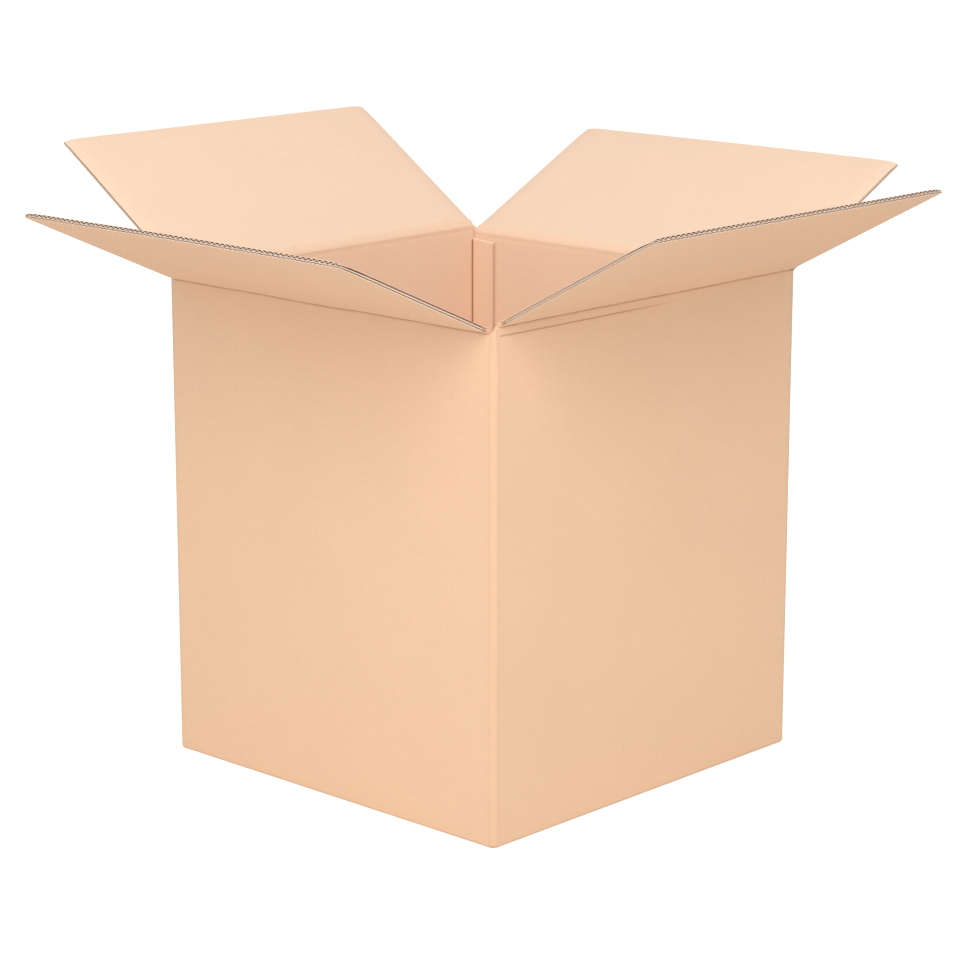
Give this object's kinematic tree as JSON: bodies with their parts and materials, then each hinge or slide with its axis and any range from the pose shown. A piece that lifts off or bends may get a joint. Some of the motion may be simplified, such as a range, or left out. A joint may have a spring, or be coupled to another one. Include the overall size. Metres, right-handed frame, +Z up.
{
  "type": "open cardboard box",
  "caption": "Square open shipping carton of double-wall corrugated board with hinged top flaps folded outward and a closed base.",
  "frame": {"origin": "centre of the square base, on the floor", "axes": "+Z up, +X out of the right wall, -Y out of the front wall"},
  "size_m": [0.8901, 0.9113, 0.6938],
  "materials": {
    "kraft_board": "matt uncoated kraft liner"
  },
  "bodies": {
    "carton": {"carton_body": "kraft_board"},
    "front_flap": {"front_top_flap": "kraft_board"},
    "right_flap": {"right_top_flap": "kraft_board"},
    "back_flap": {"back_top_flap": "kraft_board"},
    "left_flap": {"left_top_flap": "kraft_board"}
  },
  "joints": [
    {"name": "front_fold", "type": "hinge", "parent": "carton", "child": "front_flap", "pos_m": [0, -0.25, 0.553], "axis": [-1, 0, 0], "range_deg": [-109, 156]},
    {"name": "right_fold", "type": "hinge", "parent": "carton", "child": "right_flap", "pos_m": [0.25, 0, 0.5603], "axis": [0, -1, 0], "range_deg": [-113, 152]},
    {"name": "back_fold", "type": "hinge", "parent": "carton", "child": "back_flap", "pos_m": [0, 0.25, 0.553], "axis": [1, 0, 0], "range_deg": [-112, 153]},
    {"name": "left_fold", "type": "hinge", "parent": "carton", "child": "left_flap", "pos_m": [-0.25, 0, 0.5603], "axis": [0, 1, 0], "range_deg": [-119, 146]}
  ]
}
